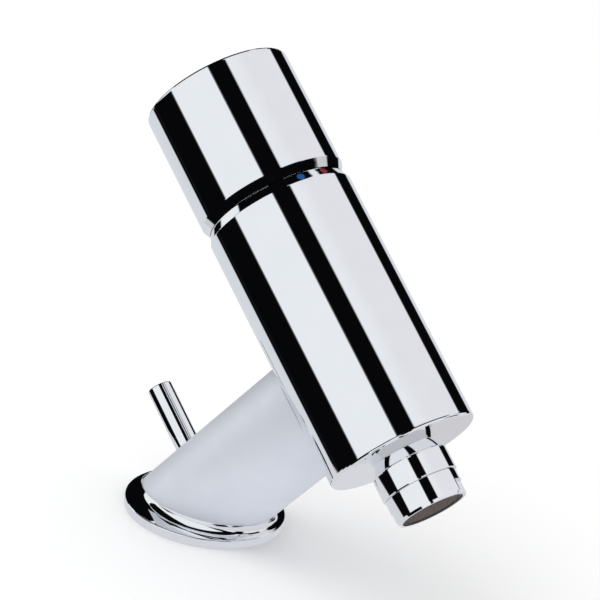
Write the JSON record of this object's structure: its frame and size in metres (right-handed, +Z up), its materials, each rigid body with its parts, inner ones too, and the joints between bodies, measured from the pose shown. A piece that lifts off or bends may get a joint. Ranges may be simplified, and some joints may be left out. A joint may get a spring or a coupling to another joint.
{
  "type": "bidet mixer tap",
  "caption": "Deck bidet mixer: leaning riser, cylindrical barrel with push-pull knob, swivel aerator and pop-up waste lever in a slot.",
  "frame": {"origin": "middle of the base's underside, on the deck", "axes": "+X to the front, where the water leaves; +Z up; the tap is symmetric about the XZ plane but for its marks and flats"},
  "size_m": [0.1521, 0.058, 0.1714],
  "materials": {
    "chrome": "polished",
    "satin_chrome": "satin",
    "brass": "machined",
    "copper": "drawn",
    "steel": "turned",
    "rubber": "matte",
    "white_plastic": "moulded",
    "black_plastic": "moulded",
    "grey_plastic": "moulded",
    "blue_enamel": "glossy",
    "red_enamel": "glossy"
  },
  "bodies": {
    "tap": {"base_flange": "chrome", "base_gasket": "rubber", "base_block": "brass", "block_screws": "steel", "riser": "satin_chrome", "lever_pin": "steel", "hot_supply_tube": "copper", "cold_supply_tube": "copper", "inlet_seals": "rubber", "saddle_screws": "steel", "barrel": "chrome", "blue_mark": "blue_enamel", "red_mark": "red_enamel", "valve_body": "brass", "cartridge_sleeve": "white_plastic", "sleeve_seals": "rubber", "head_nut": "brass", "aerator_neck": "chrome"},
    "lever": {"lever_hub": "brass", "waste_lever": "chrome", "link_pin": "steel"},
    "rod": {"pull_rod": "brass"},
    "rotor": {"limit_ring": "white_plastic"},
    "knob": {"piston_stem": "steel", "stem_seals": "rubber", "knob_skirt": "chrome", "knob_hub": "black_plastic", "knob": "chrome", "knob_grub_screw": "steel"},
    "swivel": {"ball_seat": "white_plastic", "ball_seal": "rubber"},
    "aerator": {"aerator_socket": "chrome", "aerator_housing": "chrome", "aerator_washer": "rubber", "aerator_insert": "grey_plastic"}
  },
  "joints": [
    {"name": "temperature_turn", "type": "hinge", "parent": "tap", "child": "rotor", "pos_m": [0.06093, 0, 0.08043], "axis": [-0.7771, 0, 0.6293], "range_deg": [-50, 50]},
    {"name": "flow_pull", "type": "slide", "parent": "rotor", "child": "knob", "axis": [-0.7771, 0, 0.6293], "range_m": [0, 0.007]},
    {"name": "lever_swing", "type": "hinge", "parent": "tap", "child": "lever", "pos_m": [-0.00232, 0, 0.01186], "axis": [0, 1, 0], "range_deg": [0, 50]},
    {"name": "pull_rod_slide", "type": "slide", "parent": "tap", "child": "rod", "axis": [0, 0, -1], "range_m": [0, 0.00761]},
    {"name": "aerator_tilt", "type": "hinge", "parent": "tap", "child": "swivel", "pos_m": [0.08977, 0, 0.05709], "axis": [0, 1, 0], "range_deg": [-12, 12]},
    {"name": "aerator_spin", "type": "hinge", "parent": "swivel", "child": "aerator", "pos_m": [0.08977, 0, 0.05709], "axis": [-0.7771, 0, 0.6293], "continuous": true}
  ],
  "couplings": [
    {"joint": "pull_rod_slide", "follows": "lever_swing", "m_per_rad": 0.0087171}
  ]
}
